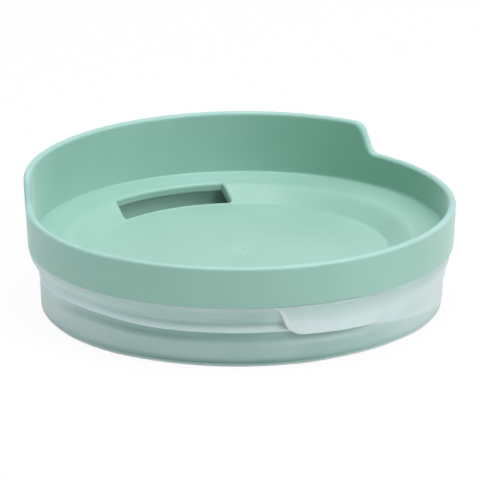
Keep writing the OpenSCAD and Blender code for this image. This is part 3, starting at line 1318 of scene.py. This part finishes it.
    def sweep_tree(self) -> tuple[bpy.types.NodeTree, dict[str, str]]:
        """Builds the Geometry Nodes tree that sweeps a section round the axis.

        Returns:
            The tree, and the identifiers of its named inputs.
        """
        tree = bpy.data.node_groups.new("section_round_axis", "GeometryNodeTree")
        board = NodeBoard(tree)
        kinds = {
            "Section": "NodeSocketGeometry",
            "Ring Radius": "NodeSocketFloat",
            "Segments": "NodeSocketInt",
            "Finish": "NodeSocketMaterial",
        }
        names = {}
        for name, kind in kinds.items():
            names[name] = tree.interface.new_socket(name, in_out="INPUT", socket_type=kind).identifier
        tree.interface.new_socket("Ring", in_out="OUTPUT", socket_type="NodeSocketGeometry")
        given = board.add("NodeGroupInput").outputs
        section = board.add("GeometryNodeMeshToCurve", Mesh=given["Section"])
        circle = board.add(
            "GeometryNodeCurvePrimitiveCircle", Radius=given["Ring Radius"], Resolution=given["Segments"]
        )
        swept = board.add(
            "GeometryNodeCurveToMesh", Curve=circle.outputs[0], Profile_Curve=section.outputs[0]
        )
        real = board.add("GeometryNodeRealizeInstances", Geometry=swept.outputs[0])
        dressed = board.add("GeometryNodeSetMaterial", Geometry=real.outputs[0], Material=given["Finish"])
        board.add("NodeGroupOutput", Ring=dressed.outputs[0])
        return tree, names

    def build(self, material: Material) -> Piece:
        """Sweeps the section round the axis, lets it hang loose and leaves a pocket behind the tab.

        Args:
            material: Material of the sleeve.

        Returns:
            The sleeve's object.
        """
        section = self.section()
        flat = np.stack([section[:, 0] - self.collar_r, -section[:, 1], 0.0 * section[:, 0]], axis=-1) * MM
        count = len(flat)
        outline = bpy.data.meshes.new("seal_section")
        outline.from_pydata(flat.tolist(), [(i, (i + 1) % count) for i in range(count)], [])
        carrier = bpy.data.objects.new("seal_section", outline)
        bpy.context.scene.collection.objects.link(carrier)
        modifier = carrier.modifiers.new("section_round_axis", "NODES")
        modifier.node_group, names = self.sweep_tree()
        modifier[names["Ring Radius"]] = self.collar_r * MM
        modifier[names["Segments"]] = self.segments
        modifier[names["Finish"]] = material
        seen = carrier.evaluated_get(bpy.context.evaluated_depsgraph_get())
        swept = bpy.data.meshes.new_from_object(seen)
        carrier.modifiers.clear()
        bpy.data.objects.remove(carrier)
        points = mesh_points(swept)
        faces = [tuple(p.vertices) for p in swept.polygons]
        r = np.hypot(points[:, 0], points[:, 1])
        shaped = self.pocket(points, self.slacken(points, r)) / r
        points[:, :2] *= shaped[:, None]
        # Milkiness together with painted light and shade.
        milk_and_light = self.milk_and_light(points)
        points[:, 2] += self.lift(points)
        piece = smooth_piece("seal_skin", points, faces)
        piece.data.materials.append(material)
        set_attribute(piece, MILK_AND_LIGHT, milk_and_light)
        return piece

    def lift(self, points: Array) -> Array:
        """Height by which the soft lip rides up and the foot is tilted, at each point.

        Args:
            points: Points of the sleeve.

        Returns:
            The height to add.
        """
        turn, z = turn_of(points), points[:, 2]
        foot = self.foot_lift.at(turn, z) + self.foot_sink.at(turn, z)
        return foot + self.lip_lift.at(turn, z - self.lip_z)

    def slacken(self, points: Array, r: Array) -> Array:
        """Fills out the recess, and lets the loose side hang in one slope from the collar to the plug.

        Args:
            points: Points of the sleeve.
            r: Their radii.

        Returns:
            Their radii with the soft places.
        """
        turn, z = turn_of(points), points[:, 2]
        above_plug = z - self.plug_top_z
        full = self.full_share * self.full_turns.share(turn)
        filled = np.maximum(full, self.tab_share * self.tab_turns.share(turn))
        filled = filled * self.fill_r.share(r - self.bore_r) * self.fill_z.share(above_plug)
        r = r + filled * np.maximum(self.plug_r + self.plug_lean - r, 0.0)
        rise = np.clip(above_plug + self.loose_start, 0.0, None)
        slope = self.plug_r + 2.0 * self.plug_lean + self.loose_slope * rise
        share = self.loose_share * self.loose_turns.share(turn) * self.loose_r.share(r - self.bore_r)
        share = share * self.loose_top.share(z - self.height) * self.loose_z.share(z)
        return r + share * (slope - r)

    def pocket(self, points: Array, r: Array) -> Array:
        """Draws the sleeve in behind the tab, inside the tab's outline.

        Args:
            points: Points of the sleeve.
            r: Their radii.

        Returns:
            Their radii with the pocket.
        """
        x, y, z = points.T
        left, right = self.tab_left + self.pocket_inset, self.tab_right - self.pocket_inset
        inside = Window(left - self.pocket_side, left, right, right + self.pocket_side).share(x)
        inside = inside * ease(self.bend_z + self.pocket_top, self.bend_z, z) * (y < 0.0)
        return r - inside * np.maximum(r - self.pocket_r, 0.0)

    def milk_and_light(self, points: Array) -> Array:
        """Says how milky the silicone looks, with painted light and shade: a painted highlight on the lip,
        painted light and shade in its hollows, under the tab, at its sides and at its foot, and whiter where
        it stands off the skirt.

        Args:
            points: Points of the sleeve.

        Returns:
            The milkiness, with its painted light and shade, of each point.
        """
        turn, z = turn_of(points), points[:, 2]
        above_plug = z - self.plug_top_z
        from_top = z - self.height
        # Painted shade in the recess and on the collar's slope, a painted highlight on the lip and painted
        # light at the collar's top.
        hollow_shade = self.recess_shade.at(turn, above_plug) + self.slope_shade.at(turn, from_top)
        tight = self.lip_milk_and_highlight.at(turn, z - self.lip_z) + self.collar_top_light.at(turn, from_top)
        tight = tight + hollow_shade * (1.0 - self.full_turns.share(turn))
        milk_and_light = self.plain_milk + tight * (1.0 - self.loose_turns.share(turn))
        # Painted light in the recess below the tab, where its shadow falls.
        milk_and_light = milk_and_light + self.tab_recess_light.at(turn, above_plug)
        # Whiteness of the loose side, partly loose silicone and partly painted light.
        above_edge = self.edge_blur.share(z - self.edge_z + self.edge_fall * (turn - self.edge_turn))
        milk_and_light = milk_and_light + above_edge * (self.end_milk_and_light.at(turn, z) + self.hang_milk_and_light.at(turn, from_top))
        return milk_and_light + sum(tint.at(turn, z) for tint in self.tints)

    def dress(self, material: Material) -> Piece:
        """Builds the sleeve and puts it in place of its CAD node.

        Args:
            material: Material of the seal.

        Returns:
            The sleeve's object.
        """
        piece = self.build(material)
        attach(piece, Body.SEAL.value)
        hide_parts("seal_sleeve")
        return piece


@dataclass
class PullTab:
    """The flap of silicone that hangs from the collar, with its root."""

    bottom_z: float
    bend_z: float
    extra_drop: float = 0.4
    collar_r: float = COLLAR_R
    root_h: float = 1.93
    width: float = 26.4
    middle_x: float = -0.6
    left_lean: float = 3.3
    right_lean: float = 2.0
    root_flare: float = 0.9
    thickness: float = 0.95
    edge_round: float = 0.4
    round_corner: float = 4.6
    square_corner: float = 1.0
    proud: float = 0.1
    tuck: float = 1.5
    curl: float = 0.2
    left_in: float = 0.4
    left_x: Window = Window(-7.0, -12.5)
    sunk: float = 0.2
    lie: float = 1.5
    lie_x: Window = Window(0.0, 11.5)
    slant: float = 0.03
    bend_half: float = 0.8
    edge_steps: tuple[float, ...] = (0.0, 0.03, 0.09, 0.18, 0.3, 0.45, 0.7)
    row_inset: float = 1.0
    row_count: int = 14
    column_inset: float = 1.2
    column_count: int = 30
    outline_heights: int = 400
    outline_bottom: int = 200
    top_milk: float = 0.3
    top_milk_fall: float = 0.006
    bottom_milk: float = 0.9
    bottom_milk_fall: float = 0.012
    milk_hang: Window = Window(0.0, 0.75)
    # Painted highlight along the tab's left edge.
    left_edge_highlight: float = 0.6
    edge_w: Window = Window(1.0, 0.2)

    @classmethod
    def from_frame(cls) -> "PullTab":
        """Takes the tab's place and reach from its CAD node and its joint."""
        low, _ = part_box("seal_pull_tab")
        return cls(bottom_z=low.z / MM - cls.extra_drop, bend_z=bend_height())

    @property
    def top_z(self) -> float:
        """Height of the root's top edge."""
        return self.bend_z + self.root_h

    def sides(self, z: Array) -> tuple[Array, Array]:
        """Left and right ends of the outline at a height, with its rounded lower corners.

        Args:
            z: Heights.

        Returns:
            X of the left end and of the right end.
        """
        ends = []
        for run, corner in ((self.left_lean, self.round_corner), (self.right_lean, self.square_corner)):
            lean = math.atan2(run, self.top_z - self.bottom_z)
            half = (math.pi / 2.0 + lean) / 2.0
            foot_x = self.width / 2.0 - run
            centre_x = foot_x - corner / math.tan(half)
            centre_z = self.bottom_z + corner
            line = foot_x + (z - self.bottom_z) * math.tan(lean)
            tangent_z = centre_z - corner * math.sin(lean)
            arc = centre_x + np.sqrt(np.maximum(corner**2 - (z - centre_z) ** 2, 0.0))
            ends.append(np.where(z < tangent_z, arc, line))
        flare = self.root_flare * np.clip((z - self.bend_z) / self.root_h, 0.0, 1.0) ** 2
        return self.middle_x - ends[0] - flare, self.middle_x + ends[1]

    def hang(self, z: Array) -> Array:
        """Share of the way down the tab at a height, 0 at its top and 1 at its bottom."""
        return np.clip((self.top_z - z) / (self.top_z - self.bottom_z), 0.0, 1.0)

    def outer_r(self, x: Array, z: Array) -> Array:
        """Radius of the tab's outer face, which stands off at its left and lies down at its right.

        Args:
            x: X of the points.
            z: Heights of the points.

        Returns:
            The radius at each point.
        """
        tuck = self.tuck + self.left_in * self.left_x.share(x)
        below = np.clip((self.bend_z - z) / (self.bend_z - self.bottom_z), 0.0, 1.0)
        free = self.collar_r + self.proud - tuck * below + self.curl * below**3
        lying = self.collar_r - self.sunk - self.lie * self.hang(z)
        return free + (lying - free) * self.lie_x.share(x)

    def edge_inset(self, x: Array, z: Array) -> Array:
        """Distance in from the outline's sides and bottom, for the rounding of its edges.

        Args:
            x: X of the points.
            z: Heights of the points.

        Returns:
            The distance of each point from the nearest free edge.
        """
        heights = np.linspace(self.bottom_z, self.top_z, self.outline_heights)
        left, right = self.sides(heights)
        bottom = np.linspace(left[0], right[0], self.outline_bottom)
        outline_x = np.concatenate([left, right, bottom])
        outline_z = np.concatenate([heights, heights, np.full_like(bottom, self.bottom_z)])
        gaps = (x[..., None] - outline_x) ** 2 + (z[..., None] - outline_z) ** 2
        return np.sqrt(gaps.min(axis=-1))

    def milk_and_light(self, points: Array, from_left: Array) -> Array:
        """Says how milky the tab looks: whiter towards its bottom, with a painted highlight along its left
        edge.

        Args:
            points: Points of the tab.
            from_left: Their distances from the left edge.

        Returns:
            The milkiness, with the painted highlight, of each point.
        """
        x, _, z = points.T
        top = self.top_milk - self.top_milk_fall * x
        bottom = self.bottom_milk - self.bottom_milk_fall * x
        milk_and_light = top + (bottom - top) * self.milk_hang.share(self.hang(z))
        # Painted highlight along the left edge.
        return milk_and_light + self.left_edge_highlight * self.edge_w.share(from_left)

    def build(self) -> Piece:
        """Builds the tab as a closed flap with rounded edges.

        Returns:
            The tab's object.
        """
        near_edge = np.array(self.edge_steps)
        plain = np.linspace(self.row_inset, self.top_z - self.bottom_z, self.row_count)
        z_rows = self.bottom_z + np.concatenate([near_edge, plain])[::-1]
        left, right = self.sides(z_rows)
        middle = np.linspace(left + self.column_inset, right - self.column_inset, self.column_count, axis=1)
        x = np.concatenate([left[:, None] + near_edge, middle, right[:, None] - near_edge[::-1]], axis=1)
        z = np.repeat(z_rows[:, None], x.shape[1], axis=1)
        drop = edge_drop(self.edge_round, self.edge_inset(x, z))
        outer = self.outer_r(x, z)
        z = z - self.slant * x * self.hang(z)
        sketch = MeshSketch()
        is_last = np.arange(x.shape[1]) == x.shape[1] - 1
        rims = []
        for r in (outer - drop, outer - self.thickness + drop):
            rows = [sketch.add_row(row) for row in np.stack([x, -np.sqrt(r**2 - x**2), z], axis=-1)]
            for first, second in itertools.pairwise(rows):
                sketch.join(first, second, is_last)
            rims.append(border(np.array(rows)))
        sketch.join(*rims)
        piece = sketch.piece("pull_tab")
        from_left = np.tile((x - left[:, None]).ravel(), len(rims))
        set_attribute(piece, MILK_AND_LIGHT, self.milk_and_light(sketch.points(), from_left))
        return piece

    def dress(self, material: Material) -> Piece:
        """Builds the tab and puts it in place of its CAD node.

        Args:
            material: Material of the seal.

        Returns:
            The tab's object.
        """
        piece = self.build()
        piece.data.materials.append(material)
        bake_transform(piece)
        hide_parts("seal_pull_tab")
        return piece


def seen_directly(board: NodeBoard) -> Socket:
    """Tells the rays that show the background itself: camera, glossy and transmission rays.

    Args:
        board: The nodes of a material or a world.

    Returns:
        1 for those rays and 0 for the others.
    """
    path = board.add("ShaderNodeLightPath").outputs
    either = board.math("MAXIMUM", path["Is Camera Ray"], path["Is Glossy Ray"])
    return board.math("MAXIMUM", either, path["Is Transmission Ray"])


@dataclass(frozen=True)
class PaleGround:
    """Finish of the ground: plain white that shows as the background and keeps a faint shadow."""

    colour: Colour = (0.9, 0.9, 0.9, 1.0)
    shadow_share: float = 0.06

    def material(self) -> Material:
        """Builds the material, which looks white to the camera and lights the object as matte paint.

        Returns:
            The material.
        """
        material, board = new_material("pale_ground")
        paint = board.add("ShaderNodeBsdfDiffuse", Color=self.colour)
        glow = board.add("ShaderNodeEmission", Color=WHITE, Strength=1.0)
        share = board.times(seen_directly(board), 1.0 - self.shadow_share)
        mixed = board.add("ShaderNodeMixShader", _0=share, _1=paint.outputs[0], _2=glow.outputs[0])
        board.add("ShaderNodeOutputMaterial", Surface=mixed.outputs[0])
        return material


def direction(azimuth: float, elevation: float) -> Vector:
    """Unit vector from the object towards a viewer. Azimuth 0 is -Y and 90 is +X, in degrees."""
    a, e = math.radians(azimuth), math.radians(elevation)
    return Vector((math.sin(a) * math.cos(e), -math.cos(a) * math.cos(e), math.sin(e)))


@dataclass(frozen=True)
class SoftLamp:
    """A soft square lamp that looks at the object from a direction. Its lengths are in metres."""

    name: str
    azimuth: float
    elevation: float
    power: float
    tint: tuple[float, float, float] = (1.0, 1.0, 1.0)
    distance: float = 1.2
    size: float = 0.8

    def hang(self) -> None:
        """Hangs the lamp in the scene."""
        data = bpy.data.lights.new(self.name, "AREA")
        data.shape = "SQUARE"
        data.size = self.size
        data.energy = self.power
        data.color = self.tint
        lamp = bpy.data.objects.new(self.name, data)
        lamp.location = direction(self.azimuth, self.elevation) * self.distance
        lamp.rotation_euler = (-lamp.location).to_track_quat("-Z", "Y").to_euler()
        bpy.context.scene.collection.objects.link(lamp)


@dataclass
class Studio:
    """The white ground, the soft light and the camera at the photograph's view.

    The camera's distance and clipping and the ground's size are in metres.
    """

    azimuth: float = -27.2
    elevation: float = 17.77
    distance: float = 1.2757
    pivot_z: float = 22.5
    aim_z: float = 14.1
    aim_side: float = -0.2
    roll: float = -0.36
    lens: float = 448.0
    sensor_w: float = 36.0
    clip_start: float = 0.05
    clip_end: float = 20.0
    ground_size: float = 6.0
    sky: float = 0.05
    lamps: tuple[SoftLamp, ...] = (
        SoftLamp("top_lamp", azimuth=0.0, elevation=88.0, power=10.4, tint=(0.98, 0.99, 1.0)),
        SoftLamp("front_right_lamp", azimuth=20.0, elevation=40.0, power=7.3, tint=(1.0, 0.965, 1.0)),
        SoftLamp("right_lamp", azimuth=63.0, elevation=30.0, power=2.3, tint=(1.0, 0.965, 1.0)),
        SoftLamp("low_left_lamp", azimuth=-115.0, elevation=8.0, power=3.95, tint=(0.79, 0.96, 1.0)),
        SoftLamp("back_lamp", azimuth=153.0, elevation=40.0, power=1.3),
    )

    def set_ground(self) -> None:
        """Lays the pale ground."""
        half = self.ground_size / 2.0
        mesh = bpy.data.meshes.new("ground")
        corners = [(-half, -half, 0.0), (half, -half, 0.0), (half, half, 0.0), (-half, half, 0.0)]
        mesh.from_pydata(corners, [], [(0, 1, 2, 3)])
        mesh.materials.append(PaleGround().material())
        ground = bpy.data.objects.new("ground", mesh)
        bpy.context.scene.collection.objects.link(ground)

    def set_light(self) -> None:
        """Sets the even white surroundings and hangs the lamps."""
        world = bpy.data.worlds.new("white_studio")
        world.use_nodes = True
        board = NodeBoard(world.node_tree)
        light = board.add("ShaderNodeBackground", Color=WHITE, Strength=self.sky)
        shown = board.add("ShaderNodeBackground", Color=WHITE, Strength=1.0)
        share = seen_directly(board)
        mixed = board.add("ShaderNodeMixShader", _0=share, _1=light.outputs[0], _2=shown.outputs[0])
        board.add("ShaderNodeOutputWorld", Surface=mixed.outputs[0])
        bpy.context.scene.world = world
        for lamp in self.lamps:
            lamp.hang()
        bpy.context.scene.view_settings.view_transform = "Standard"

    def set_camera(self) -> None:
        """Puts the camera at the photograph's view."""
        data = bpy.data.cameras.new("camera")
        data.sensor_width = self.sensor_w
        data.lens = self.lens
        data.clip_start = self.clip_start
        data.clip_end = self.clip_end
        camera = bpy.data.objects.new("camera", data)
        pivot = Vector((0.0, 0.0, self.pivot_z * MM))
        place = pivot + direction(self.azimuth, self.elevation) * self.distance
        turn = math.radians(self.azimuth)
        side = Vector((math.cos(turn), math.sin(turn), 0.0))
        aim = Vector((0.0, 0.0, self.aim_z * MM)) + side * self.aim_side * MM
        look = (aim - place).to_track_quat("-Z", "Y").to_matrix().to_4x4()
        roll = Matrix.Rotation(math.radians(self.roll), 4, "Z")
        camera.matrix_world = Matrix.Translation(place) @ look @ roll
        bpy.context.scene.collection.objects.link(camera)
        bpy.context.scene.camera = camera


def main() -> None:
    """Builds the pieces in order and reports each one."""
    logging.basicConfig(level=logging.INFO, format="%(message)s")
    studio = Studio()
    studio.set_camera()
    studio.set_light()
    studio.set_ground()
    silicone = MilkySilicone().material()
    pieces = [
        LidMoulding.from_frame().dress(MatteMoulding()),
        SealSleeve.from_frame().dress(silicone),
        PullTab.from_frame().dress(silicone),
    ]
    for piece in pieces:
        LOG.info("%s: %d faces", piece.name, len(piece.data.polygons))


if __name__ == "__main__":
    main()
